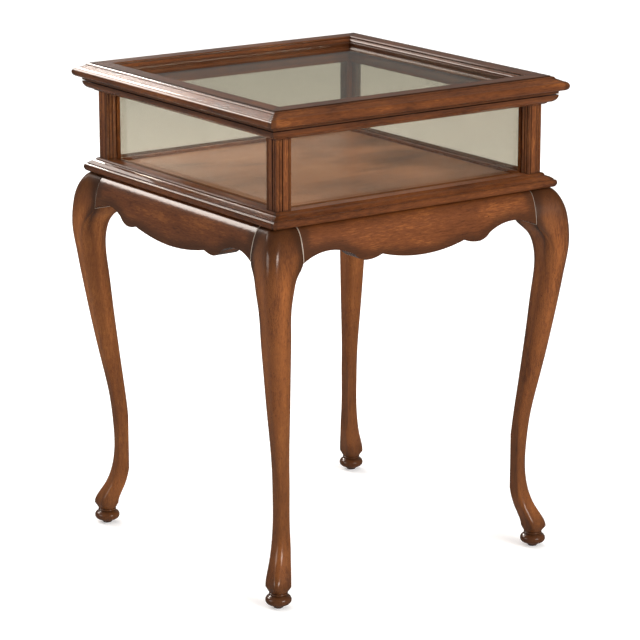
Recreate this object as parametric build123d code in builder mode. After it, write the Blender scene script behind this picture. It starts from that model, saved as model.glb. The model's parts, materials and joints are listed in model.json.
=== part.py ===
from build123d import *
import os
from math import sqrt

# Glass display end table on four cabriole legs, with a lift-up glazed lid hinged at the back.
# Millimetres, +Z up. The origin is on the floor, under the middle of the table.
# The front is -Y, the right side is +X, and the hinges are at the back, +Y.
# The plan is square, so each ring of members is one section drawn as (distance from the
# middle, height) and placed on the four sides, with mitres where the sides meet.

os.makedirs("parts", exist_ok=True)

# ---------------------------------------------------------------- driving dimensions
TABLE_HEIGHT = 660.0
LID_HALF = 241.5  # to the lid's rounded nose
LID_BOTTOM = 636.0
CASE_TOP = 634.6  # top of the fixed upper rail; the lid closes above it on bumpers
RAIL_BOTTOM = 621.6
SILL_TOP = 528.0
MOULDING_BOTTOM = 508.0
CASE_HALF = 216.0  # to the outer faces of the corner posts
POST_WIDTH = 22.5
FASCIA_HALF = 231.0  # to the upper rail's and lid's plain edge

# Case glazing: an outer lip, the pane behind it, and stops on the inside
REBATE_HALF = 201.0
PANE_THICKNESS = 3.0
PANE_INNER = REBATE_HALF - PANE_THICKNESS
STOP_INNER = 192.7
REBATE_FLOOR = 524.0
REBATE_ROOF = 626.0
STOP_HEIGHT = 4.0
GLASS_GAP = 0.4

# Corner posts: reeds on the outer corner, each (in from both faces, radius), and fine grooves
REED_ZONE = 9.6
REED_CORE = 4.6
REEDS = ((2.5, 7.4, 2.4), (3.1, 3.1, 2.7), (7.4, 2.5, 2.4))
EDGE_BEAD = 3.4
GROOVE_WIDTH = 0.9
REVEAL_GROOVES = (4.2, 9.4)

# Deck panel on the moulding's ledge
DECK_HALF = 192.0
DECK_THICKNESS = 9.0
DECK_BOTTOM = REBATE_FLOOR - DECK_THICKNESS
LEDGE_INNER = 180.0
RAIL_INNER = 192.0

# Lid glazing
LID_OPENING = 193.5
LID_REBATE = 200.0
LID_GLASS_TOP = 649.0
LID_GLASS_THICKNESS = 4.0
LID_GLASS_BOTTOM = LID_GLASS_TOP - LID_GLASS_THICKNESS
LID_BEAD_BOTTOM = 637.5

# Aprons and leg blocks
LEG_BLOCK_INNER = 191.0
LEG_BLANK = 59.0
LEG_BLANK_CENTRE = LEG_BLOCK_INNER + LEG_BLANK / 2
APRON_INNER = 208.0
APRON_TOP_FACE = 221.0
APRON_BELLY = 19.0
APRON_BELLY_HEIGHT = 450.0
APRON_LOWEST = 444.0
SCALLOP_FLOOR = 430.0
KNEE_TOP = 463.0  # where the arch below the apron meets the leg
APRON_END_ROUNDING = 1.2

# Feet
FOOT_CENTRE = 214.4
GLIDE_RADIUS = 6.0
GLIDE_HEIGHT = 1.2
GLIDE_NAIL_RADIUS = 1.2
GLIDE_NAIL_LENGTH = 9.0

# Joinery
APRON_DOWEL_RADIUS = 4.0
APRON_DOWEL_REACH = 14.0
APRON_DOWEL_LINE = 218.0
APRON_DOWEL_HEIGHTS = (480.0, 496.0)
POST_DOWEL_RADIUS = 3.0
POST_DOWEL_CENTRE = 207.0
POST_DOWEL_SPANS = ((514.0, 542.0), (606.0, 631.0))
BRACE_BOTTOM = 480.0
BRACE_TOP = 504.0
BRACE_REACH = 150.0
BRACE_SCREW_RADIUS = 2.4
BRACE_SCREW_LENGTH = 40.0
BRACE_HEAD_RADIUS = 4.6
BRACE_HEAD_HEIGHT = 2.8

# Hinges: two butt hinges, pins along X behind the back rail
HINGE_CENTRES = {"left": -135.0, "right": 135.0}
HINGE_WIDTH = 50.0
HINGE_AXIS_Y = 233.8
HINGE_AXIS_Z = 635.3
HINGE_BARREL_RADIUS = 2.5
HINGE_PIN_RADIUS = 1.25
HINGE_PIN_CLEARANCE = 0.05
HINGE_LEAF_THICKNESS = 1.2
HINGE_LEAF_GAP = 0.8
HINGE_LEAF_DEPTH = 22.0
HINGE_KNUCKLES = 5
HINGE_KNUCKLE_GAP = 0.3
HINGE_SCREW_SPACING = 17.0
HINGE_SCREW_SHIFT = 1.5  # the screw row's distance from the middle of the leaf, away from the barrel
HINGE_SCREW_RADIUS = 1.4
HINGE_SCREW_HEAD_RADIUS = 2.8
HINGE_SCREW_LENGTH = 9.0
SCREW_SLOT_WIDTH = 0.7
SCREW_SLOT_DEPTH = 0.5

BUMPER_RADIUS = 4.5
BUMPER_PLACE = 210.0
BUMPER_AIR = 0.05

SIDES = {"front": 0, "right": 90, "back": 180, "left": 270}
CORNERS = {
    "front_left": (-1, -1),
    "front_right": (1, -1),
    "back_left": (-1, 1),
    "back_right": (1, 1),
}


def side_plane(turn):
    """Upright plane whose X runs outward from the middle and whose Y runs up."""
    outward = Vector(0, -1, 0).rotate(Axis.Z, turn)
    return Plane(origin=(0, 0, 0), x_dir=outward, z_dir=outward.cross(Vector(0, 0, 1)))


def face_plane(turn, distance):
    """Upright plane facing outward, at a distance from the middle, Y up."""
    outward = Vector(0, -1, 0).rotate(Axis.Z, turn)
    return Plane(origin=outward * distance, x_dir=Vector(0, 0, 1).cross(outward), z_dir=outward)


def wedge_points(turn, reach):
    """The quarter of the plan that belongs to one side, out to a reach."""
    corners = (Vector(0, 0), Vector(-reach, -reach), Vector(reach, -reach))
    return [corner.rotate(Axis.Z, turn) for corner in corners]


def write(builder, name):
    builder.part.label = name
    export_step(builder.part, f"parts/{name}.step")


# ---------------------------------------------------------------- section profiles
# Each is drawn with X as the distance from the middle and Y as the height.

# Lid: plain edge, full round nose, crease, straight slope, bead and quirk, flat rim, then down to the glass
with BuildSketch() as lid_profile:
    with BuildLine():
        Polyline(
            (LID_REBATE, LID_GLASS_TOP),
            (LID_REBATE, LID_BOTTOM),
            (FASCIA_HALF, LID_BOTTOM),
            (FASCIA_HALF, 639.0),
            (235.4, 640.4),
        )
        ThreePointArc((235.4, 640.4), (LID_HALF, 646.6), (235.9, 652.75))
        Line((235.9, 652.75), (227.4, 656.6))
        ThreePointArc((227.4, 656.6), (225.4, 658.8), (222.8, 657.8))
        Polyline(
            (222.8, 657.8),
            (222.8, TABLE_HEIGHT),
            (201.2, TABLE_HEIGHT),
            (200.0, 658.8),
            (200.0, 657.0),
        )
        ThreePointArc((200.0, 657.0), (196.6, 656.0), (195.2, 652.8))
        Polyline(
            (195.2, 652.8),
            (LID_OPENING, 651.6),
            (LID_OPENING, LID_GLASS_TOP),
            (LID_REBATE, LID_GLASS_TOP),
        )
    make_face()

# Fixed upper rail: plain edge, quarter round, small fillet over the post, glass rebate
with BuildSketch() as rail_profile:
    with BuildLine():
        Polyline(
            (RAIL_INNER, REBATE_ROOF),
            (RAIL_INNER, CASE_TOP),
            (FASCIA_HALF, CASE_TOP),
            (FASCIA_HALF, 632.8),
        )
        ThreePointArc((FASCIA_HALF, 632.8), (227.6, 626.8), (220.6, 624.2))
        Polyline(
            (220.6, 624.2),
            (219.6, 622.6),
            (217.8, RAIL_BOTTOM),
            (REBATE_HALF, RAIL_BOTTOM),
            (REBATE_HALF, REBATE_ROOF),
            (RAIL_INNER, REBATE_ROOF),
        )
    make_face()

# Base moulding: flat sill, quirk, flat ovolo, crease, nose with a tight arris, glass rebate and a
# ledge for the deck
with BuildSketch() as base_profile:
    with BuildLine():
        Polyline(
            (LEDGE_INNER, MOULDING_BOTTOM),
            (223.4, MOULDING_BOTTOM),
            (228.6, 509.2),
        )
        ThreePointArc((228.6, 509.2), (231.2, 513.4), (230.9, 517.4))
        ThreePointArc((230.9, 517.4), (230.2, 518.6), (228.9, 519.0))
        Line((228.9, 519.0), (227.9, 519.2))
        Line((227.9, 519.2), (227.7, 520.6))
        ThreePointArc((227.7, 520.6), (223.8, 523.2), (219.2, 524.8))
        Line((219.2, 524.8), (218.8, 526.6))
        Polyline(
            (218.8, 526.6),
            (217.4, SILL_TOP),
            (REBATE_HALF, SILL_TOP),
            (REBATE_HALF, REBATE_FLOOR),
            (DECK_HALF + GLASS_GAP, REBATE_FLOOR),
            (DECK_HALF + GLASS_GAP, DECK_BOTTOM),
            (LEDGE_INNER, DECK_BOTTOM),
            (LEDGE_INNER, MOULDING_BOTTOM),
        )
    make_face()

# Apron: flat back, face swelling outward from under the moulding
with BuildSketch() as apron_profile:
    with BuildLine():
        Polyline(
            (APRON_TOP_FACE, MOULDING_BOTTOM),
            (APRON_INNER, MOULDING_BOTTOM),
            (APRON_INNER, APRON_LOWEST),
            (APRON_TOP_FACE + APRON_BELLY, APRON_LOWEST),
            (APRON_TOP_FACE + APRON_BELLY, APRON_BELLY_HEIGHT),
        )
        EllipticalCenterArc(
            (APRON_TOP_FACE, APRON_BELLY_HEIGHT),
            APRON_BELLY,
            MOULDING_BOTTOM - APRON_BELLY_HEIGHT,
            start_angle=0,
            arc_size=90,
        )
    make_face()


def apron_face(height):
    """Distance of the apron's face from the middle at a height."""
    rise = (height - APRON_BELLY_HEIGHT) / (MOULDING_BOTTOM - APRON_BELLY_HEIGHT)
    return APRON_TOP_FACE + APRON_BELLY * sqrt(max(0.0, 1 - rise * rise))


# Waste cut away below the aprons, half of it, on the upright plane of the face: a long arch
# beside the leg, a small drop, then a shallow drop across the middle. The side aprons have
# the wider pattern of the two.
def scallop(middle, quarter, peak, bump_start, bump_end, bump_top, arch_start, arch_peak):
    """Half the waste: the points along the cut, from the middle of the apron to the leg."""
    with BuildSketch() as half:
        with BuildLine():
            Line((0, SCALLOP_FLOOR), (0, middle))
            ThreePointArc((0, middle), quarter, peak)
            ThreePointArc(peak, bump_start, bump_end)
            ThreePointArc(bump_end, bump_top, arch_start)
            ThreePointArc(arch_start, arch_peak, (LEG_BLOCK_INNER, KNEE_TOP))
            Polyline(
                (LEG_BLOCK_INNER, KNEE_TOP),
                (LID_HALF, KNEE_TOP),
                (LID_HALF, SCALLOP_FLOOR),
                (0, SCALLOP_FLOOR),
            )
        make_face()
    return half.sketch


END_SCALLOP = scallop(
    449.6, (36.0, 452.4), (67.0, 459.4), (79.0, 455.6), (93.0, 454.6), (102.0, 457.4), (110.0, 463.6), (150.0, 474.6)
)
SIDE_SCALLOP = scallop(
    447.4, (44.0, 450.4), (84.0, 457.6), (94.0, 455.0), (106.0, 454.4), (115.0, 457.6), (123.0, 464.0), (157.0, 473.6)
)
SCALLOPS = {"front": END_SCALLOP, "back": END_SCALLOP, "left": SIDE_SCALLOP, "right": SIDE_SCALLOP}

# ---------------------------------------------------------------- legs
# Each level: height, inner face, outer face at the apron side, outer corner, corner radius,
# side radius. The blank is sawn to one pattern on two faces and then rounded, so every level
# is a four-cornered shape symmetrical about the diagonal.
LEG_LEVELS = [
    (28.5, 201.4, 228.4, 228.4, 4.6, 4.6),
    (42.0, 198.4, 225.2, 225.2, 6.0, 6.0),
    (58.0, 193.4, 217.8, 217.8, 6.5, 6.5),
    (80.0, 189.2, 211.4, 211.4, 7.0, 7.0),
    (110.0, 187.4, 208.0, 208.0, 7.2, 7.2),
    (150.0, 188.4, 208.8, 208.8, 7.2, 7.2),
    (190.0, 191.2, 212.2, 212.2, 7.4, 7.4),
    (230.0, 194.6, 218.4, 218.4, 8.0, 8.0),
    (270.0, 197.8, 225.2, 225.2, 9.0, 9.0),
    (320.0, 201.6, 232.8, 232.8, 10.0, 10.0),
    (370.0, 205.2, 239.8, 239.8, 10.8, 10.8),
    (405.0, 207.4, 244.4, 244.4, 11.4, 11.4),
    (430.0, 206.4, 246.0, 247.8, 12.0, 8.0),
    (448.0, 201.0, 243.4, 249.2, 12.5, 4.0),
    (KNEE_TOP, LEG_BLOCK_INNER, apron_face(KNEE_TOP), 248.8, 12.5, 0.8),
    (478.0, LEG_BLOCK_INNER, apron_face(478.0), 246.6, 12.5, 0.8),
    (492.0, LEG_BLOCK_INNER, apron_face(492.0), 242.0, 12.5, 0.8),
    (502.0, LEG_BLOCK_INNER, apron_face(502.0), 236.4, 12.5, 0.8),
    (MOULDING_BOTTOM, LEG_BLOCK_INNER, APRON_TOP_FACE, 229.6, 12.5, 0.8),
]
TOE_BOTTOM = LEG_LEVELS[0][0]
TOE_CENTRE = (LEG_LEVELS[0][1] + LEG_LEVELS[0][2]) / 2
TOE_WIDTH = LEG_LEVELS[0][2] - LEG_LEVELS[0][1]
TOE_ROUNDING = LEG_LEVELS[0][4]
NECK_TOP = 22.0
NECK_WIDTH = 23.6
NECK_ROUNDING = 0.42


# Turned foot below the neck: a ring, a broad pad and a small dome, as (radius, height)
with BuildSketch() as foot_profile:
    with BuildLine():
        Polyline((0, NECK_TOP), (0, GLIDE_HEIGHT), (6.4, GLIDE_HEIGHT))
        ThreePointArc((6.4, GLIDE_HEIGHT), (8.4, 2.8), (9.2, 5.0))
        ThreePointArc((9.2, 5.0), (17.4, 10.8), (12.6, 17.2))
        Polyline((12.6, 17.2), (11.4, 18.2))
        ThreePointArc((11.4, 18.2), (12.6, 19.6), (11.4, 21.0))
        Polyline((11.4, 21.0), (11.8, NECK_TOP), (0, NECK_TOP))
    make_face()


def dowel_centres(sx, sy):
    """Where the apron dowels enter one leg block: the point, and the way into the apron."""
    for height in APRON_DOWEL_HEIGHTS:
        yield Vector(sx * LEG_BLOCK_INNER, sy * APRON_DOWEL_LINE, height), Vector(-sx, 0, 0)
        yield Vector(sx * APRON_DOWEL_LINE, sy * LEG_BLOCK_INNER, height), Vector(0, -sy, 0)


def dowel_plane(place, direction):
    return Plane(origin=place, z_dir=direction)


def brace_plane(sx, sy):
    """Plane on the brace's slanting face, facing the middle of the table."""
    mid = (BRACE_REACH + APRON_INNER) / 2
    height = (BRACE_BOTTOM + BRACE_TOP) / 2
    return Plane(origin=(sx * mid, sy * mid, height), z_dir=(-sx, -sy, 0))


for corner, (sx, sy) in CORNERS.items():
    foot_place = Vector(sx * FOOT_CENTRE, sy * FOOT_CENTRE, 0)
    foot_plane = Plane(origin=foot_place, x_dir=(1, 0, 0), z_dir=(0, -1, 0))
    with BuildPart() as leg:
        # Leg proper, from the toe's edge up to the block behind the knee
        for height, inner, face, outer, corner_radius, side_radius in LEG_LEVELS:
            with BuildSketch(Plane.XY.offset(height)) as level:
                tips = [
                    (sx * outer, sy * outer),
                    (sx * face, sy * inner),
                    (sx * inner, sy * inner),
                    (sx * inner, sy * face),
                ]
                Polygon(*tips, align=None)
                radii = (corner_radius, side_radius, side_radius, side_radius)
                for (x, y), radius in zip(tips, radii):
                    fillet(level.vertices().sort_by_distance((x, y, height))[0], radius)
        loft()
        # Plane the block's two inner faces flat, where the aprons and the brace meet it
        with BuildSketch(Plane.XY.offset(TOE_BOTTOM)):
            with Locations((sx * LEG_BLANK_CENTRE, sy * LEG_BLANK_CENTRE)):
                Rectangle(LEG_BLANK, LEG_BLANK)
        extrude(amount=MOULDING_BOTTOM - TOE_BOTTOM, mode=Mode.INTERSECT)
        # Undercut from the toe's edge in to the neck
        with BuildSketch(Plane.XY.offset(TOE_BOTTOM)):
            with Locations((sx * TOE_CENTRE, sy * TOE_CENTRE)):
                RectangleRounded(TOE_WIDTH, TOE_WIDTH, TOE_ROUNDING)
        with BuildSketch(Plane.XY.offset(NECK_TOP)):
            with Locations((sx * FOOT_CENTRE, sy * FOOT_CENTRE)):
                RectangleRounded(NECK_WIDTH, NECK_WIDTH, NECK_WIDTH * NECK_ROUNDING)
        loft(ruled=True)
        with BuildSketch(foot_plane):
            add(foot_profile.sketch)
        revolve(axis=Axis(foot_place, (0, 0, 1)))
        # Glide nail, apron dowels and brace screw
        with BuildSketch(Plane.XY):
            with Locations((foot_place.X, foot_place.Y)):
                Circle(GLIDE_NAIL_RADIUS)
        extrude(amount=GLIDE_HEIGHT + GLIDE_NAIL_LENGTH, mode=Mode.SUBTRACT)
        for place, direction in dowel_centres(sx, sy):
            with BuildSketch(dowel_plane(place, direction)):
                Circle(APRON_DOWEL_RADIUS)
            extrude(amount=-APRON_DOWEL_REACH, mode=Mode.SUBTRACT)
        with BuildSketch(brace_plane(sx, sy)):
            Circle(BRACE_SCREW_RADIUS)
        extrude(amount=-BRACE_SCREW_LENGTH, mode=Mode.SUBTRACT)
    write(leg, f"leg_{corner}")

with BuildPart() as foot_glides:
    for sx, sy in CORNERS.values():
        with BuildSketch(Plane.XY):
            with Locations((sx * FOOT_CENTRE, sy * FOOT_CENTRE)):
                Circle(GLIDE_RADIUS)
        extrude(amount=GLIDE_HEIGHT)
        with BuildSketch(Plane.XY.offset(GLIDE_HEIGHT)):
            with Locations((sx * FOOT_CENTRE, sy * FOOT_CENTRE)):
                Circle(GLIDE_NAIL_RADIUS)
        extrude(amount=GLIDE_NAIL_LENGTH)
write(foot_glides, "foot_glides")

# ---------------------------------------------------------------- aprons and corner braces
for side, turn in SIDES.items():
    with BuildPart() as apron:
        with BuildSketch(side_plane(turn)):
            add(apron_profile.sketch)
        extrude(amount=LEG_BLOCK_INNER, both=True)
        fillet(apron.edges().filter_by(GeomType.ELLIPSE), APRON_END_ROUNDING)
        with BuildSketch(face_plane(turn, 0)):
            add(SCALLOPS[side])
            mirror(SCALLOPS[side], about=Plane.YZ)
        extrude(amount=LID_HALF + APRON_BELLY, mode=Mode.SUBTRACT)
        for sx, sy in CORNERS.values():
            for place, direction in dowel_centres(sx, sy):
                with BuildSketch(dowel_plane(place, direction)):
                    Circle(APRON_DOWEL_RADIUS)
                extrude(amount=APRON_DOWEL_REACH, mode=Mode.SUBTRACT)
    write(apron, f"apron_{side}")

with BuildPart() as apron_dowels:
    for sx, sy in CORNERS.values():
        for place, direction in dowel_centres(sx, sy):
            with BuildSketch(dowel_plane(place, direction)):
                Circle(APRON_DOWEL_RADIUS)
            extrude(amount=APRON_DOWEL_REACH, both=True)
write(apron_dowels, "apron_dowels")

for corner, (sx, sy) in CORNERS.items():
    with BuildPart() as brace:
        with BuildSketch(Plane.XY.offset(BRACE_BOTTOM)):
            Polygon(
                (sx * BRACE_REACH, sy * APRON_INNER),
                (sx * LEG_BLOCK_INNER, sy * APRON_INNER),
                (sx * LEG_BLOCK_INNER, sy * LEG_BLOCK_INNER),
                (sx * APRON_INNER, sy * LEG_BLOCK_INNER),
                (sx * APRON_INNER, sy * BRACE_REACH),
                align=None,
            )
        extrude(amount=BRACE_TOP - BRACE_BOTTOM)
        with BuildSketch(brace_plane(sx, sy)):
            Circle(BRACE_SCREW_RADIUS)
        extrude(amount=-BRACE_SCREW_LENGTH, mode=Mode.SUBTRACT)
    write(brace, f"corner_brace_{corner}")

with BuildPart() as brace_screws:
    for sx, sy in CORNERS.values():
        with BuildSketch(brace_plane(sx, sy)):
            Circle(BRACE_SCREW_RADIUS)
        extrude(amount=-BRACE_SCREW_LENGTH)
        with BuildSketch(brace_plane(sx, sy)):
            Circle(BRACE_HEAD_RADIUS)
        extrude(amount=BRACE_HEAD_HEIGHT)
write(brace_screws, "corner_brace_screws")

# ---------------------------------------------------------------- base moulding and deck
POST_DOWEL_PLACES = [(sx * POST_DOWEL_CENTRE, sy * POST_DOWEL_CENTRE) for sx, sy in CORNERS.values()]
MOULDING_DOWEL_BOTTOM = POST_DOWEL_SPANS[0][0]
RAIL_DOWEL_TOP = POST_DOWEL_SPANS[1][1]

for side, turn in SIDES.items():
    with BuildPart() as moulding:
        with BuildSketch(side_plane(turn)):
            add(base_profile.sketch)
        extrude(amount=LID_HALF, both=True)
        with BuildSketch(Plane.XY.offset(MOULDING_BOTTOM)):
            Polygon(*wedge_points(turn, LID_HALF), align=None)
        extrude(amount=SILL_TOP - MOULDING_BOTTOM, mode=Mode.INTERSECT)
        with BuildSketch(Plane.XY.offset(MOULDING_DOWEL_BOTTOM)):
            with Locations(*POST_DOWEL_PLACES):
                Circle(POST_DOWEL_RADIUS)
        extrude(amount=SILL_TOP - MOULDING_DOWEL_BOTTOM, mode=Mode.SUBTRACT)
    write(moulding, f"base_moulding_{side}")

with BuildPart() as deck_panel:
    with BuildSketch(Plane.XY.offset(DECK_BOTTOM)):
        Rectangle(2 * DECK_HALF, 2 * DECK_HALF)
    extrude(amount=DECK_THICKNESS)
write(deck_panel, "deck_panel")

# ---------------------------------------------------------------- corner posts
POST_INNER_FACE = CASE_HALF - POST_WIDTH
POST_CENTRE = CASE_HALF - POST_WIDTH / 2
REED_MIDDLE = CASE_HALF - REED_ZONE / 2
REED_CORE_WIDTH = REED_ZONE - REED_CORE
REED_CORE_MIDDLE = CASE_HALF - (REED_ZONE + REED_CORE) / 2
NOTCH_WIDTH = REBATE_HALF - POST_INNER_FACE
NOTCH_MIDDLE = REBATE_HALF - NOTCH_WIDTH / 2

for corner, (sx, sy) in CORNERS.items():
    with BuildPart() as post:
        with BuildSketch(Plane.XY.offset(RAIL_BOTTOM)):
            with Locations((sx * POST_CENTRE, sy * POST_CENTRE)):
                Rectangle(POST_WIDTH, POST_WIDTH)
            # Reeded outer corner
            with Locations((sx * REED_MIDDLE, sy * REED_MIDDLE)):
                Rectangle(REED_ZONE, REED_ZONE, mode=Mode.SUBTRACT)
            with Locations((sx * REED_CORE_MIDDLE, sy * REED_CORE_MIDDLE)):
                Rectangle(REED_CORE_WIDTH, REED_CORE_WIDTH)
            for in_x, in_y, radius in REEDS:
                with Locations((sx * (CASE_HALF - in_x), sy * (CASE_HALF - in_y))):
                    Circle(radius)
            # Bead down each face beside the glass, and grooves in the reveals
            with Locations((sx * (POST_INNER_FACE + EDGE_BEAD), sy * CASE_HALF)):
                Rectangle(GROOVE_WIDTH, 2 * GROOVE_WIDTH, mode=Mode.SUBTRACT)
            with Locations((sx * CASE_HALF, sy * (POST_INNER_FACE + EDGE_BEAD))):
                Rectangle(2 * GROOVE_WIDTH, GROOVE_WIDTH, mode=Mode.SUBTRACT)
            for depth in REVEAL_GROOVES:
                with Locations((sx * POST_INNER_FACE, sy * (CASE_HALF - depth))):
                    Rectangle(2 * GROOVE_WIDTH, GROOVE_WIDTH, mode=Mode.SUBTRACT)
                with Locations((sx * (CASE_HALF - depth), sy * POST_INNER_FACE)):
                    Rectangle(GROOVE_WIDTH, 2 * GROOVE_WIDTH, mode=Mode.SUBTRACT)
            # Notch for the two panes and the stop between them
            with Locations((sx * NOTCH_MIDDLE, sy * NOTCH_MIDDLE)):
                Rectangle(NOTCH_WIDTH, NOTCH_WIDTH, mode=Mode.SUBTRACT)
        extrude(amount=SILL_TOP - RAIL_BOTTOM)
        for bottom, top in POST_DOWEL_SPANS:
            with BuildSketch(Plane.XY.offset(bottom)):
                with Locations((sx * POST_DOWEL_CENTRE, sy * POST_DOWEL_CENTRE)):
                    Circle(POST_DOWEL_RADIUS)
            extrude(amount=top - bottom, mode=Mode.SUBTRACT)
    write(post, f"post_{corner}")

with BuildPart() as post_dowels:
    for bottom, top in POST_DOWEL_SPANS:
        with BuildSketch(Plane.XY.offset(bottom)):
            with Locations(*POST_DOWEL_PLACES):
                Circle(POST_DOWEL_RADIUS)
        extrude(amount=top - bottom)
write(post_dowels, "post_dowels")

# ---------------------------------------------------------------- case glass and its stops
PANE_BOTTOM = REBATE_FLOOR + GLASS_GAP
PANE_HEIGHT = REBATE_ROOF - GLASS_GAP - PANE_BOTTOM
STOP_WIDTH = PANE_INNER - STOP_INNER
STOP_MIDDLE = (PANE_INNER + STOP_INNER) / 2
STOP_SPANS = ((REBATE_FLOOR, STOP_HEIGHT), (RAIL_BOTTOM, REBATE_ROOF - RAIL_BOTTOM))

for side, turn in SIDES.items():
    # The front and back panes run into the notches; the side panes butt between them
    pane_half = REBATE_HALF - GLASS_GAP if side in ("front", "back") else PANE_INNER - GLASS_GAP
    with BuildPart() as pane:
        with BuildSketch(face_plane(turn, PANE_INNER)):
            with Locations((0, PANE_BOTTOM + PANE_HEIGHT / 2)):
                Rectangle(2 * pane_half, PANE_HEIGHT)
        extrude(amount=PANE_THICKNESS)
    write(pane, f"side_glass_{side}")
    with BuildPart() as stops:
        for bottom, height in STOP_SPANS:
            with BuildSketch(face_plane(turn, STOP_INNER)):
                with Locations((0, bottom + height / 2)):
                    Rectangle(2 * STOP_INNER, height)
            extrude(amount=STOP_WIDTH)
    write(stops, f"glass_stops_{side}")

for corner, (sx, sy) in CORNERS.items():
    with BuildPart() as corner_stop:
        with BuildSketch(Plane.XY.offset(REBATE_FLOOR)):
            with Locations((sx * STOP_MIDDLE, sy * STOP_MIDDLE)):
                Rectangle(STOP_WIDTH, STOP_WIDTH)
        extrude(amount=REBATE_ROOF - REBATE_FLOOR)
    write(corner_stop, f"corner_stop_{corner}")

# ---------------------------------------------------------------- hinge layout
KNUCKLE_LENGTH = (HINGE_WIDTH - (HINGE_KNUCKLES - 1) * HINGE_KNUCKLE_GAP) / HINGE_KNUCKLES
KNUCKLE_PITCH = KNUCKLE_LENGTH + HINGE_KNUCKLE_GAP
LEAF_NEAR = FASCIA_HALF
LEAF_FAR = FASCIA_HALF - HINGE_LEAF_DEPTH
CASE_LEAF_TOP = HINGE_AXIS_Z - HINGE_LEAF_GAP / 2
CASE_LEAF_BOTTOM = CASE_LEAF_TOP - HINGE_LEAF_THICKNESS
LID_LEAF_BOTTOM = HINGE_AXIS_Z + HINGE_LEAF_GAP / 2
LID_LEAF_TOP = LID_LEAF_BOTTOM + HINGE_LEAF_THICKNESS
LEAF_MIDDLE = (LEAF_NEAR + LEAF_FAR) / 2
SCREW_ROW = LEAF_MIDDLE - HINGE_SCREW_SHIFT
SCREW_OFFSETS = (-HINGE_SCREW_SPACING, 0, HINGE_SCREW_SPACING)
SCREW_PLACES = [(x + offset, SCREW_ROW) for x in HINGE_CENTRES.values() for offset in SCREW_OFFSETS]
SCREW_HEAD_HEIGHT = HINGE_LEAF_THICKNESS


def knuckle_centres(centre, first):
    """Middles along X of every second knuckle of a hinge, from the first or the second."""
    start = centre - HINGE_WIDTH / 2 + KNUCKLE_LENGTH / 2
    return [start + index * KNUCKLE_PITCH for index in range(first, HINGE_KNUCKLES, 2)]


# ---------------------------------------------------------------- fixed upper rail
for side, turn in SIDES.items():
    with BuildPart() as rail:
        with BuildSketch(side_plane(turn)):
            add(rail_profile.sketch)
        extrude(amount=LID_HALF, both=True)
        with BuildSketch(Plane.XY.offset(RAIL_BOTTOM)):
            Polygon(*wedge_points(turn, LID_HALF), align=None)
        extrude(amount=CASE_TOP - RAIL_BOTTOM, mode=Mode.INTERSECT)
        with BuildSketch(Plane.XY.offset(RAIL_BOTTOM)):
            with Locations(*POST_DOWEL_PLACES):
                Circle(POST_DOWEL_RADIUS)
        extrude(amount=RAIL_DOWEL_TOP - RAIL_BOTTOM, mode=Mode.SUBTRACT)
        if side == "back":
            for centre in HINGE_CENTRES.values():
                with BuildSketch(Plane.XY.offset(CASE_LEAF_BOTTOM)):
                    with Locations((centre, LEAF_MIDDLE)):
                        Rectangle(HINGE_WIDTH, HINGE_LEAF_DEPTH)
                extrude(amount=CASE_TOP - CASE_LEAF_BOTTOM, mode=Mode.SUBTRACT)
            with BuildSketch(Plane.XY.offset(CASE_LEAF_BOTTOM)):
                with Locations(*SCREW_PLACES):
                    Circle(HINGE_SCREW_RADIUS)
            extrude(amount=SCREW_HEAD_HEIGHT - HINGE_SCREW_LENGTH, mode=Mode.SUBTRACT)
    write(rail, f"upper_rail_{side}")

with BuildPart() as lid_bumpers:
    with BuildSketch(Plane.XY.offset(CASE_TOP)):
        with Locations(*[(sx * BUMPER_PLACE, sy * BUMPER_PLACE) for sx, sy in CORNERS.values()]):
            Circle(BUMPER_RADIUS)
    extrude(amount=LID_BOTTOM - BUMPER_AIR - CASE_TOP)
write(lid_bumpers, "lid_bumpers")

# ---------------------------------------------------------------- hinges
# Each leaf's bottom, its first knuckle and its bore; the pin is fast in the case leaf
LEAVES = {
    "case": (CASE_LEAF_BOTTOM, 0, HINGE_PIN_RADIUS),
    "lid": (LID_LEAF_BOTTOM, 1, HINGE_PIN_RADIUS + HINGE_PIN_CLEARANCE),
}


def screw_planes(owner, x, y):
    """Planes at a leaf screw's head and at its neck, both facing the other leaf."""
    face, way = (CASE_LEAF_TOP, 1) if owner == "case" else (LID_LEAF_BOTTOM, -1)
    head = Plane(origin=(x, y, face), z_dir=(0, 0, way))
    return head, head.offset(-SCREW_HEAD_HEIGHT)


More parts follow.
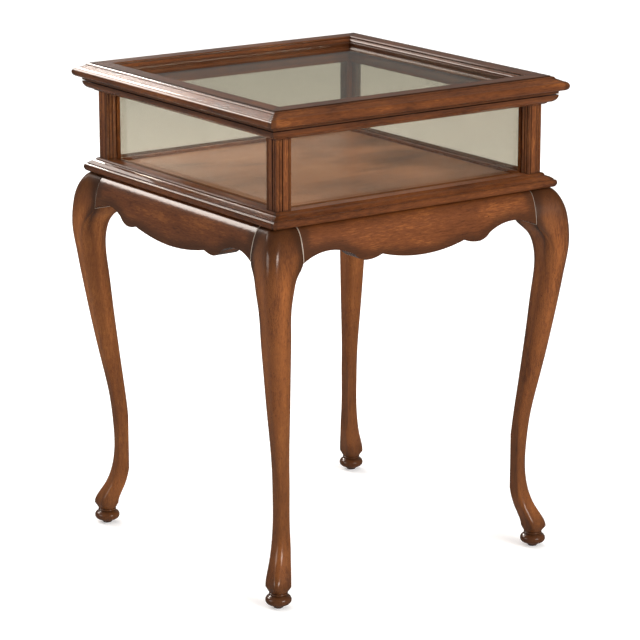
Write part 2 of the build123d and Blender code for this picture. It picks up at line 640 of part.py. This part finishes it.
for hinge, centre in HINGE_CENTRES.items():
    for owner, (leaf_bottom, first, bore) in LEAVES.items():
        with BuildPart() as leaf:
            with BuildSketch(Plane.XY.offset(leaf_bottom)):
                with Locations((centre, LEAF_MIDDLE)):
                    Rectangle(HINGE_WIDTH, HINGE_LEAF_DEPTH)
                for x in knuckle_centres(centre, first):
                    with Locations((x, (LEAF_NEAR + HINGE_AXIS_Y) / 2)):
                        Rectangle(KNUCKLE_LENGTH, HINGE_AXIS_Y - LEAF_NEAR)
            extrude(amount=HINGE_LEAF_THICKNESS)
            for x in knuckle_centres(centre, first):
                with BuildSketch(Plane(origin=(x, HINGE_AXIS_Y, HINGE_AXIS_Z), z_dir=(1, 0, 0))):
                    Circle(HINGE_BARREL_RADIUS)
                extrude(amount=KNUCKLE_LENGTH / 2, both=True)
            with BuildSketch(Plane(origin=(centre, HINGE_AXIS_Y, HINGE_AXIS_Z), z_dir=(1, 0, 0))):
                Circle(bore)
            extrude(amount=HINGE_WIDTH, both=True, mode=Mode.SUBTRACT)
            # Countersunk holes, wide at the face that meets the other leaf
            for offset in SCREW_OFFSETS:
                head_plane, neck_plane = screw_planes(owner, centre + offset, SCREW_ROW)
                with BuildSketch(head_plane):
                    Circle(HINGE_SCREW_HEAD_RADIUS)
                with BuildSketch(neck_plane):
                    Circle(HINGE_SCREW_RADIUS)
                loft(mode=Mode.SUBTRACT)
        write(leaf, f"hinge_{hinge}_{owner}_leaf")
    with BuildPart() as pin:
        with BuildSketch(Plane(origin=(centre, HINGE_AXIS_Y, HINGE_AXIS_Z), z_dir=(1, 0, 0))):
            Circle(HINGE_PIN_RADIUS)
        extrude(amount=HINGE_WIDTH / 2, both=True)
    write(pin, f"hinge_{hinge}_pin")

for owner in LEAVES:
    with BuildPart() as screws:
        for x, y in SCREW_PLACES:
            head_plane, neck_plane = screw_planes(owner, x, y)
            with BuildSketch(head_plane):
                Circle(HINGE_SCREW_HEAD_RADIUS)
            with BuildSketch(neck_plane):
                Circle(HINGE_SCREW_RADIUS)
            loft()
            with BuildSketch(neck_plane):
                Circle(HINGE_SCREW_RADIUS)
            extrude(amount=SCREW_HEAD_HEIGHT - HINGE_SCREW_LENGTH)
            with BuildSketch(head_plane):
                Rectangle(2 * HINGE_SCREW_HEAD_RADIUS, SCREW_SLOT_WIDTH)
            extrude(amount=-SCREW_SLOT_DEPTH, mode=Mode.SUBTRACT)
    write(screws, f"hinge_screws_{owner}")

# ---------------------------------------------------------------- lid
LID_BEAD_WIDTH = LID_REBATE - LID_OPENING
LID_BEAD_HEIGHT = LID_GLASS_BOTTOM - LID_BEAD_BOTTOM
LID_GLASS_WIDTH = 2 * (LID_REBATE - GLASS_GAP)

for side, turn in SIDES.items():
    with BuildPart() as lid_rail:
        with BuildSketch(side_plane(turn)):
            add(lid_profile.sketch)
        extrude(amount=LID_HALF, both=True)
        with BuildSketch(Plane.XY.offset(LID_BOTTOM)):
            Polygon(*wedge_points(turn, LID_HALF), align=None)
        extrude(amount=TABLE_HEIGHT - LID_BOTTOM, mode=Mode.INTERSECT)
        if side == "back":
            for centre in HINGE_CENTRES.values():
                with BuildSketch(Plane.XY.offset(LID_BOTTOM)):
                    with Locations((centre, LEAF_MIDDLE)):
                        Rectangle(HINGE_WIDTH, HINGE_LEAF_DEPTH)
                extrude(amount=LID_LEAF_TOP - LID_BOTTOM, mode=Mode.SUBTRACT)
            with BuildSketch(Plane.XY.offset(LID_LEAF_TOP)):
                with Locations(*SCREW_PLACES):
                    Circle(HINGE_SCREW_RADIUS)
            extrude(amount=HINGE_SCREW_LENGTH - SCREW_HEAD_HEIGHT, mode=Mode.SUBTRACT)
    write(lid_rail, f"lid_rail_{side}")
    with BuildPart() as lid_bead:
        with BuildSketch(side_plane(turn)):
            with Locations((LID_OPENING, LID_BEAD_BOTTOM)):
                Rectangle(LID_BEAD_WIDTH, LID_BEAD_HEIGHT, align=(Align.MIN, Align.MIN))
        extrude(amount=LID_HALF, both=True)
        with BuildSketch(Plane.XY.offset(LID_BEAD_BOTTOM)):
            Polygon(*wedge_points(turn, LID_HALF), align=None)
        extrude(amount=LID_BEAD_HEIGHT, mode=Mode.INTERSECT)
    write(lid_bead, f"lid_glass_bead_{side}")

with BuildPart() as lid_glass:
    with BuildSketch(Plane.XY.offset(LID_GLASS_BOTTOM)):
        Rectangle(LID_GLASS_WIDTH, LID_GLASS_WIDTH)
    extrude(amount=LID_GLASS_THICKNESS)
write(lid_glass, "lid_glass")
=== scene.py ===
import json
from math import cos, radians, sin

import bpy
from mathutils import Matrix, Vector


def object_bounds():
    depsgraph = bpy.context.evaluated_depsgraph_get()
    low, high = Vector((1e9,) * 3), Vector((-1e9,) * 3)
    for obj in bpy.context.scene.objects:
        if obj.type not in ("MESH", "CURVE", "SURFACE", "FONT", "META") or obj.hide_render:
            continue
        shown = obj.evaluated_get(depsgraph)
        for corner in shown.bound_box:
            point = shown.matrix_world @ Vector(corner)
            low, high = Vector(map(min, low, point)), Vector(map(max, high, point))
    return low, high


# Looks for the glass display end table. Metres, in the CAD frame: +Z up, the front is -Y.

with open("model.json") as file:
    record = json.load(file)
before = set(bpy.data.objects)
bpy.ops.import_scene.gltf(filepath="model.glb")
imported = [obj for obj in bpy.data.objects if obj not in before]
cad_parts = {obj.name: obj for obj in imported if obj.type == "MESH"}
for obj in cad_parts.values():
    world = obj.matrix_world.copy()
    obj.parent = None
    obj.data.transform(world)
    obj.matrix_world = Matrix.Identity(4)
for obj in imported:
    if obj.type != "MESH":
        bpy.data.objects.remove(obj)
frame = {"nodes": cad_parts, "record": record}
cad_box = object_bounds()
nodes = frame["nodes"]
case_low, case_high = cad_box
middle = (case_low + case_high) / 2

# ---------------------------------------------------------------- camera
CAMERA_AZIMUTH = radians(-35.4)
CAMERA_ELEVATION = radians(14.7)
CAMERA_DISTANCE = 3.98
CAMERA_RIGHT = 0.0037
CAMERA_UP = -0.0198
CAMERA_LENS = 162.4
SENSOR_WIDTH = 36

cam_back = Vector((
    sin(CAMERA_AZIMUTH) * cos(CAMERA_ELEVATION),
    -cos(CAMERA_AZIMUTH) * cos(CAMERA_ELEVATION),
    sin(CAMERA_ELEVATION),
))
cam_right = Vector((cos(CAMERA_AZIMUTH), sin(CAMERA_AZIMUTH), 0))
cam_up = cam_back.cross(cam_right)
camera = bpy.data.objects.new("camera", bpy.data.cameras.new("camera"))
bpy.context.scene.collection.objects.link(camera)
turn = Matrix((cam_right, cam_up, cam_back)).transposed()
place = middle + cam_back * CAMERA_DISTANCE + cam_right * CAMERA_RIGHT + cam_up * CAMERA_UP
camera.matrix_world = Matrix.Translation(place) @ turn.to_4x4()
camera.data.lens = CAMERA_LENS
camera.data.sensor_width = SENSOR_WIDTH
bpy.context.scene.camera = camera
bpy.context.scene.view_settings.view_transform = "Standard"


# ---------------------------------------------------------------- material helpers
X, Y, Z = range(3)
BOARD_SHIFT = (1.37, 2.11, 0.83)  # how far the grain of one board lies from the next one's
OCCLUSION_SAMPLES = 8


class Tree:
    """A small wrapper that adds nodes to a material and links them."""

    def __init__(self, name):
        self.material = bpy.data.materials.new(name)
        self.material.use_nodes = True
        self.nodes = self.material.node_tree.nodes
        self.links = self.material.node_tree.links
        self.shader = self.nodes["Principled BSDF"]

    def put(self, socket, value):
        """Links an output into a socket, or sets its value."""
        if isinstance(value, bpy.types.NodeSocket):
            self.links.new(value, socket)
        elif value is not None:
            socket.default_value = value

    def node(self, kind, **inputs):
        made = self.nodes.new(kind)
        for name, value in inputs.items():
            self.put(made.inputs[name.replace("_", " ")], value)
        return made

    def math(self, operation, first, second=0.0, clamp=False):
        made = self.nodes.new("ShaderNodeMath")
        made.operation = operation
        made.use_clamp = clamp
        self.put(made.inputs[0], first)
        self.put(made.inputs[1], second)
        return made.outputs[0]

    def weigh(self, *terms):
        """The sum of some patterns, each times its weight."""
        total = None
        for pattern, weight in terms:
            term = self.math("MULTIPLY", pattern, weight)
            total = term if total is None else self.math("ADD", total, term)
        return total

    def mix(self, share, first, second):
        made = self.nodes.new("ShaderNodeMix")
        made.data_type = "RGBA"
        self.put(made.inputs["Factor"], share)
        self.put(made.inputs["A"], first)
        self.put(made.inputs["B"], second)
        return made.outputs["Result"]

    def span(self, value, low, high, to_low=0.0, to_high=1.0):
        """Maps a value from one range to another, clamped."""
        made = self.nodes.new("ShaderNodeMapRange")
        made.interpolation_type = "SMOOTHSTEP"
        for name, number in zip(("Value", "From Min", "From Max", "To Min", "To Max"),
                                (value, low, high, to_low, to_high)):
            self.put(made.inputs[name], number)
        return made.outputs["Result"]

    def ramp(self, value, stops):
        made = self.nodes.new("ShaderNodeValToRGB")
        made.color_ramp.interpolation = "EASE"
        points = made.color_ramp.elements
        while len(points) < len(stops):
            points.new(0.5)
        for point, (position, colour) in zip(points, stops):
            point.position = position
            point.color = (*colour, 1)
        self.put(made.inputs["Fac"], value)
        return made.outputs["Color"]

    def of_piece(self, name):
        """A number the piece carries, such as its board or its stain."""
        made = self.nodes.new("ShaderNodeAttribute")
        made.attribute_type = "OBJECT"
        made.attribute_name = name
        return made.outputs["Fac"]

    def coordinate(self, axis):
        """How far a point lies along one axis from the origin, on the floor under the table's middle."""
        here = self.nodes.new("ShaderNodeTexCoord")
        made = self.node("ShaderNodeSeparateXYZ", Vector=here.outputs["Object"])
        return self.math("ABSOLUTE", made.outputs[axis])

    def place(self, scale):
        """Object coordinates, moved for each board and stretched by scale."""
        here = self.nodes.new("ShaderNodeTexCoord")
        spread = self.nodes.new("ShaderNodeVectorMath")
        spread.operation = "MULTIPLY_ADD"
        self.put(spread.inputs[0], self.of_piece("board"))
        spread.inputs[1].default_value = BOARD_SHIFT
        self.put(spread.inputs[2], here.outputs["Object"])
        stretch = self.nodes.new("ShaderNodeVectorMath")
        stretch.operation = "MULTIPLY"
        self.put(stretch.inputs[0], spread.outputs[0])
        stretch.inputs[1].default_value = scale
        return stretch.outputs[0]

    def noise(self, scale, detail=4.0, roughness=0.55, distortion=0.0):
        made = self.node("ShaderNodeTexNoise", Vector=self.place(scale), Scale=1.0,
                         Detail=detail, Roughness=roughness, Distortion=distortion)
        return made.outputs["Fac"]

    def specks(self, per_metre, radius, share):
        """Small round dots in a share of the cells of a jittered grid."""
        cells = self.node("ShaderNodeTexVoronoi", Vector=self.place((per_metre,) * 3), Scale=1.0)
        near = self.span(cells.outputs["Distance"], radius * 0.6, radius, 1.0, 0.0)
        chosen = self.math("LESS_THAN", cells.outputs["Color"], share)
        return self.math("MULTIPLY", near, chosen)

    def occlusion(self, distance, inside=False):
        """How open the surface is within a distance, outside it or inside the board."""
        made = self.nodes.new("ShaderNodeAmbientOcclusion")
        made.samples = OCCLUSION_SAMPLES
        made.only_local = True
        made.inside = inside
        self.put(made.inputs["Distance"], distance)
        return made.outputs["AO"]

    def bump(self, strength, distance, height):
        made = self.node("ShaderNodeBump", Strength=strength, Distance=distance, Height=height)
        return made.outputs["Normal"]


def along(axis, lengthwise, across):
    """Texture scales, in cycles per metre, that stretch a pattern along one axis."""
    return tuple(lengthwise if i == axis else across for i in range(3))


# ---------------------------------------------------------------- materials
# Mahogany: the stain from its darkest to its lightest, and what lies in or over it
STAIN = [
    (0.20, (0.048, 0.0146, 0.0050)),
    (0.30, (0.116, 0.0350, 0.0096)),
    (0.40, (0.224, 0.0715, 0.0170)),
    (0.50, (0.350, 0.1190, 0.0270)),
]
PORE = (0.022, 0.009, 0.005, 1)
SPECK = (0.014, 0.007, 0.004, 1)
DARKER_BROWN = (0.034, 0.0125, 0.0050, 1)
# The colour of the painted shade in the hollows
HOLLOW_SHADE = (0.012, 0.006, 0.003, 1)
# The colour of the painted highlight along the apron joints
SEAM_HIGHLIGHT = (0.50, 0.42, 0.34, 1)

# Heights in metres: the lower leg, where the edge darkening thins out, the darker head of the leg and its
# foot
LOWER_LEG = (0.12, 0.42)
LEG_HEAD = (0.425, 0.508)
LEG_FOOT = (0.020, 0.060)
# The apron's end, from the middle of the table, where it meets the leg and where the painted highlight runs
SEAM_HIGHLIGHT_FROM = 0.1897
SEAM_HIGHLIGHT_TO = SEAM_HIGHLIGHT_FROM + 0.0005

DULL_WEIGHT = 0.12
# Coat weight, coat roughness, and the heights between which the lacquer turns dull, if it does
LACQUERS = {
    "gloss": (1.0, 0.16, None),
    "leg_gloss": (1.0, 0.16, (0.480, 0.504)),
    "lid_gloss": (1.0, 0.11, None),
    "base_gloss": (1.0, 0.07, (0.5262, 0.5272)),
    "dull": (DULL_WEIGHT, 0.16, None),
}


def mahogany(axis, lacquer):
    """Red-brown lacquered mahogany with its grain along one axis, darker along its edges by toner and, on the
    legs' arrises, a painted dark reflection; with painted shade in its hollows and a painted highlight along
    the apron joints.
    """
    t = Tree(f"mahogany_{'xyz'[axis]}_{lacquer}")
    figure = t.noise(along(axis, 6.0, 40.0), detail=2.0, distortion=0.3)
    patch = t.noise(along(axis, 13.0, 22.0), detail=2.0)
    ribbon = t.noise(along(axis, 26.0, 210.0), detail=3.0, distortion=0.2)
    fibre = t.noise(along(axis, 90.0, 700.0), detail=3.0, roughness=0.6)
    tone = t.weigh((figure, 0.18), (patch, 0.18), (ribbon, 0.12), (fibre, 0.24))
    tone = t.math("SUBTRACT", tone, t.of_piece("stain"))
    colour = t.ramp(tone, STAIN)
    pores = t.span(t.noise(along(axis, 190.0, 1500.0), detail=2.0), 0.58, 0.68)
    colour = t.mix(t.math("MULTIPLY", pores, 0.50), colour, PORE)
    specks = t.math("ADD", t.specks(120.0, 0.10, 0.30), t.specks(46.0, 0.055, 0.45), clamp=True)
    colour = t.mix(t.math("MULTIPLY", specks, 0.70), colour, SPECK)
    # Toner rubbed through on the faces and left darker along the edges; along the legs' arrises this
    # darkening is also a painted dark reflection
    rim = t.span(t.occlusion(t.of_piece("toner_reach"), inside=True), 0.66, 0.98, 1.0, 0.0)
    rim = t.math("MULTIPLY", rim, t.span(t.coordinate(Z), *LOWER_LEG, 0.60, 1.0))
    colour = t.mix(t.math("MULTIPLY", rim, t.of_piece("toner")), colour, DARKER_BROWN)
    # A leg darker at its head and at its foot
    head = t.span(t.coordinate(Z), *LEG_HEAD)
    foot = t.span(t.coordinate(Z), *LEG_FOOT, 0.75, 0.0)
    ends = t.math("MULTIPLY", t.math("MAXIMUM", head, foot), t.of_piece("toned_ends"))
    colour = t.mix(ends, colour, DARKER_BROWN)
    # Painted shade: darker in the hollows, where the surface is closed in within a few millimetres
    colour = t.mix(t.span(t.occlusion(0.006), 0.35, 0.88, 0.85, 0.0), colour, HOLLOW_SHADE)
    # Painted highlight: a pale line along the joint between an apron and a leg, where the apron's eased end
    # would catch the light
    chipped = t.span(t.coordinate(axis), SEAM_HIGHLIGHT_FROM, SEAM_HIGHLIGHT_TO)
    colour = t.mix(t.math("MULTIPLY", chipped, t.of_piece("chipped")), colour, SEAM_HIGHLIGHT)
    t.put(t.shader.inputs["Base Color"], colour)
    t.put(t.shader.inputs["Roughness"], t.span(patch, 0.35, 0.65, 0.40, 0.50))
    t.shader.inputs["Specular IOR Level"].default_value = 0.05
    coat_weight, coat_roughness, dulled_over = LACQUERS[lacquer]
    if dulled_over:
        coat_weight = t.span(t.coordinate(Z), *dulled_over, coat_weight, DULL_WEIGHT)
    t.put(t.shader.inputs["Coat Weight"], coat_weight)
    t.shader.inputs["Coat Roughness"].default_value = coat_roughness
    surface = t.weigh((fibre, 0.6), (pores, -0.8))
    t.put(t.shader.inputs["Normal"], t.bump(0.30, 0.00012, surface))
    return t.material


def veneer():
    """Figured mahogany veneer: mottled, with soft darker clouds."""
    t = Tree("figured_veneer")
    cloud = t.noise((6.0, 8.0, 6.0), detail=3.0, roughness=0.55, distortion=0.4)
    figure = t.noise((10.0, 60.0, 10.0), detail=4.0, distortion=0.3)
    streak = t.noise((26.0, 420.0, 26.0), detail=3.0)
    colour = t.ramp(t.weigh((cloud, 0.62), (figure, 0.20), (streak, 0.18)), [
        (0.36, (0.110, 0.044, 0.020)),
        (0.46, (0.195, 0.078, 0.034)),
        (0.56, (0.300, 0.128, 0.058)),
        (0.68, (0.390, 0.180, 0.085)),
    ])
    t.put(t.shader.inputs["Base Color"], colour)
    t.shader.inputs["Roughness"].default_value = 0.38
    t.shader.inputs["Coat Weight"].default_value = 0.35
    t.shader.inputs["Coat Roughness"].default_value = 0.16
    t.put(t.shader.inputs["Normal"], t.bump(0.25, 0.0001, streak))
    return t.material


def hardwood():
    """Pale unfinished hardwood of the hidden joinery."""
    t = Tree("secondary_hardwood")
    grain = t.noise((40.0, 40.0, 200.0), detail=4.0)
    colour = t.ramp(grain, [(0.35, (0.20, 0.115, 0.055)), (0.65, (0.37, 0.235, 0.125))])
    t.put(t.shader.inputs["Base Color"], colour)
    t.shader.inputs["Roughness"].default_value = 0.62
    t.put(t.shader.inputs["Normal"], t.bump(0.3, 0.0001, grain))
    return t.material


def glass(name, cast):
    """Clear float glass with a faint grey-beige cast."""
    t = Tree(name)
    t.shader.inputs["Base Color"].default_value = (*cast, 1)
    t.shader.inputs["Transmission Weight"].default_value = 1.0
    t.shader.inputs["Roughness"].default_value = 0.0
    t.shader.inputs["IOR"].default_value = 1.5
    return t.material


def metal(name, bright, dull, roughness):
    """Satin metal with a little tarnish in soft blotches."""
    t = Tree(name)
    tarnish = t.span(t.noise((160.0,) * 3, detail=4.0), 0.45, 0.62)
    t.put(t.shader.inputs["Base Color"], t.mix(tarnish, (*bright, 1), (*dull, 1)))
    t.shader.inputs["Metallic"].default_value = 1.0
    t.put(t.shader.inputs["Roughness"], t.span(tarnish, 0.0, 1.0, roughness, roughness + 0.18))
    return t.material


def moulded(name, colour, roughness):
    """Moulded plastic or rubber with a fine matte skin."""
    t = Tree(name)
    skin = t.noise((1500.0,) * 3, detail=2.0)
    darker = tuple(0.6 * c for c in colour)
    t.put(t.shader.inputs["Base Color"], t.mix(skin, (*darker, 1), (*colour, 1)))
    t.shader.inputs["Roughness"].default_value = roughness
    t.put(t.shader.inputs["Normal"], t.bump(0.3, 0.00005, skin))
    return t.material


LID_GLASS = glass("lid_glass", (0.92, 0.885, 0.735))
FINISHES = {
    "figured_veneer": veneer(),
    "secondary_hardwood": hardwood(),
    "glass": glass("side_glass", (0.597, 0.578, 0.510)),
    "brass": metal("brass", (0.66, 0.45, 0.17), (0.30, 0.18, 0.07), 0.26),
    "zinc_steel": metal("zinc_steel", (0.62, 0.62, 0.62), (0.40, 0.39, 0.37), 0.30),
    "nylon": moulded("nylon", (0.035, 0.030, 0.028), 0.55),
    "bumper_rubber": moulded("bumper_rubber", (0.030, 0.025, 0.022), 0.75),
}
UPRIGHT = ("leg", "post", "corner")
# For each kind of wooden piece: how much darker it is stained, how strongly its edges are darkened (toner,
# and on the legs also a painted dark reflection along the arris), how far in from the edge in metres, and its
# lacquer
FINISHING = {
    "leg": (-0.035, 0.95, 0.018, "leg_gloss"),
    "apron": (0.053, 0.75, 0.018, "gloss"),
    "lid": (0.065, 0.65, 0.006, "lid_gloss"),
    "upper": (0.075, 0.55, 0.005, "gloss"),
    "base": (0.072, 0.65, 0.005, "base_gloss"),
    "post": (0.030, 0.60, 0.003, "gloss"),
}
PLAIN_FINISHING = (0.05, 0.0, 0.004, "dull")
# Boards that took the stain lighter or darker than their fellows; the back-left leg's lighter stain is also
# painted light, standing in for the low light from the left that falls on it
BOARD_STAIN_AND_LIGHT = {"leg_back_left": -0.035, "leg_front_right": 0.030, "leg_front_left": 0.008}
APRON_SEAM_HIGHLIGHT = 0.8
LEG_DARKER_ENDS = 0.8


def grain_axis(name):
    """Along X for front and back members, Y for the sides, and Z for legs, posts and corners."""
    if name.startswith(UPRIGHT):
        return Z
    return X if name.endswith(("front", "back")) else Y


woods = {}


def wood(*kind):
    """The mahogany of one grain axis and lacquer, made once."""
    if kind not in woods:
        woods[kind] = mahogany(*kind)
    return woods[kind]


for index, part in enumerate(frame["record"]["subparts"]):
    name, slot = part["node"], part["material_slot"]
    node = nodes[name]
    kind = name.split("_")[0]
    node["board"] = float(index)
    # The edge darkening is toner, and on the legs' arrises also a painted dark reflection
    stain, node["toner"], node["toner_reach"], lacquer = FINISHING.get(kind, PLAIN_FINISHING)
    # The back-left leg's lighter stain stands in for the light falling on it
    node["stain"] = stain + BOARD_STAIN_AND_LIGHT.get(name, 0.0)
    # The aprons carry the painted highlight along their joints with the legs
    node["chipped"] = APRON_SEAM_HIGHLIGHT if kind == "apron" else 0.0
    node["toned_ends"] = LEG_DARKER_ENDS if kind == "leg" else 0.0
    material = wood(grain_axis(name), lacquer) if slot == "mahogany" else FINISHES[slot]
    if name == "lid_glass":
        material = LID_GLASS
    node.data.materials.clear()
    node.data.materials.append(material)
    if slot == "glass":
        node.visible_shadow = False

# ---------------------------------------------------------------- floor and light
FLOOR_SIZE = 24.0
FLOOR_GAP = 0.0002
FLOOR_GLOW = 0.30
SOFTBOX_COLOUR = (1.0, 0.91, 0.84)
ROOM_COLOUR = (1.0, 0.97, 0.93, 1)
ROOM_STRENGTH = 0.14


def floor():
    """A large pale floor just under the feet, which glows a little so that it looks like a white page."""
    t = Tree("pale_floor")
    t.shader.inputs["Base Color"].default_value = (0.84, 0.84, 0.84, 1)
    t.shader.inputs["Emission Color"].default_value = (1, 1, 1, 1)
    t.shader.inputs["Emission Strength"].default_value = FLOOR_GLOW
    t.shader.inputs["Roughness"].default_value = 0.9
    t.shader.inputs["Specular IOR Level"].default_value = 0.1
    mesh = bpy.data.meshes.new("floor")
    half, level = FLOOR_SIZE / 2, case_low.z - FLOOR_GAP
    corners = [(-half, -half, level), (half, -half, level), (half, half, level), (-half, half, level)]
    mesh.from_pydata(corners, [], [(0, 1, 2, 3)])
    mesh.materials.append(t.material)
    made = bpy.data.objects.new("floor", mesh)
    bpy.context.scene.collection.objects.link(made)
    made.visible_glossy = False  # the lacquer mirrors the dim room, not the page


def softbox(name, direction, distance, width, height, power, roll=0.0):
    """A rectangular light that faces the table's middle: sizes in metres, power in watts, roll in degrees."""
    data = bpy.data.lights.new(name, "AREA")
    data.shape = "RECTANGLE"
    data.size = width
    data.size_y = height
    data.energy = power
    data.color = SOFTBOX_COLOUR
    made = bpy.data.objects.new(name, data)
    bpy.context.scene.collection.objects.link(made)
    way = Vector(direction).normalized()
    made.location = middle + way * distance
    facing = way.to_track_quat("Z", "Y").to_matrix() @ Matrix.Rotation(radians(roll), 3, "Z")
    made.rotation_euler = facing.to_euler()


def sun(name, direction, angle, strength):
    """A broad, even light from one direction, made soft by its angle in degrees."""
    data = bpy.data.lights.new(name, "SUN")
    data.angle = radians(angle)
    data.energy = strength
    made = bpy.data.objects.new(name, data)
    bpy.context.scene.collection.objects.link(made)
    made.rotation_euler = Vector(direction).to_track_quat("Z", "Y").to_euler()
    made.visible_glossy = False


def studio():
    """A dim studio all round, with a white page for what the camera sees past the floor."""
    world = bpy.data.worlds.new("studio")
    bpy.context.scene.world = world
    world.use_nodes = True
    tree = world.node_tree
    room = tree.nodes["Background"]
    room.inputs["Color"].default_value = ROOM_COLOUR
    room.inputs["Strength"].default_value = ROOM_STRENGTH
    page = tree.nodes.new("ShaderNodeBackground")
    page.inputs["Color"].default_value = (1, 1, 1, 1)
    path = tree.nodes.new("ShaderNodeLightPath")
    either = tree.nodes.new("ShaderNodeMixShader")
    tree.links.new(path.outputs["Is Camera Ray"], either.inputs[0])
    tree.links.new(room.outputs[0], either.inputs[1])
    tree.links.new(page.outputs[0], either.inputs[2])
    tree.links.new(either.outputs[0], tree.nodes["World Output"].inputs["Surface"])


floor()
studio()
sun("key", (0.28, -0.88, 0.38), 45, 3.0)
sun("overhead", (-0.10, 0.10, 1.0), 80, 1.70)
softbox("back_left", (-0.36, 0.80, 0.50), 3.0, 1.2, 0.75, 28)
softbox("back_fill", (-0.06, 0.80, 0.60), 3.0, 0.60, 0.80, 6.0)
softbox("back_panel", (0.20, 0.79, 0.60), 3.0, 1.0, 0.80, 1.6)
softbox("moulding_panel", (0.25, 0.841, 0.48), 3.09, 0.80, 0.26, 26, roll=37.6)
softbox("left_strip", (-0.95, 0.20, 0.18), 3.0, 1.6, 0.9, 13)
softbox("front_strip", (0.12, -0.96, 0.22), 3.2, 1.2, 0.8, 26)
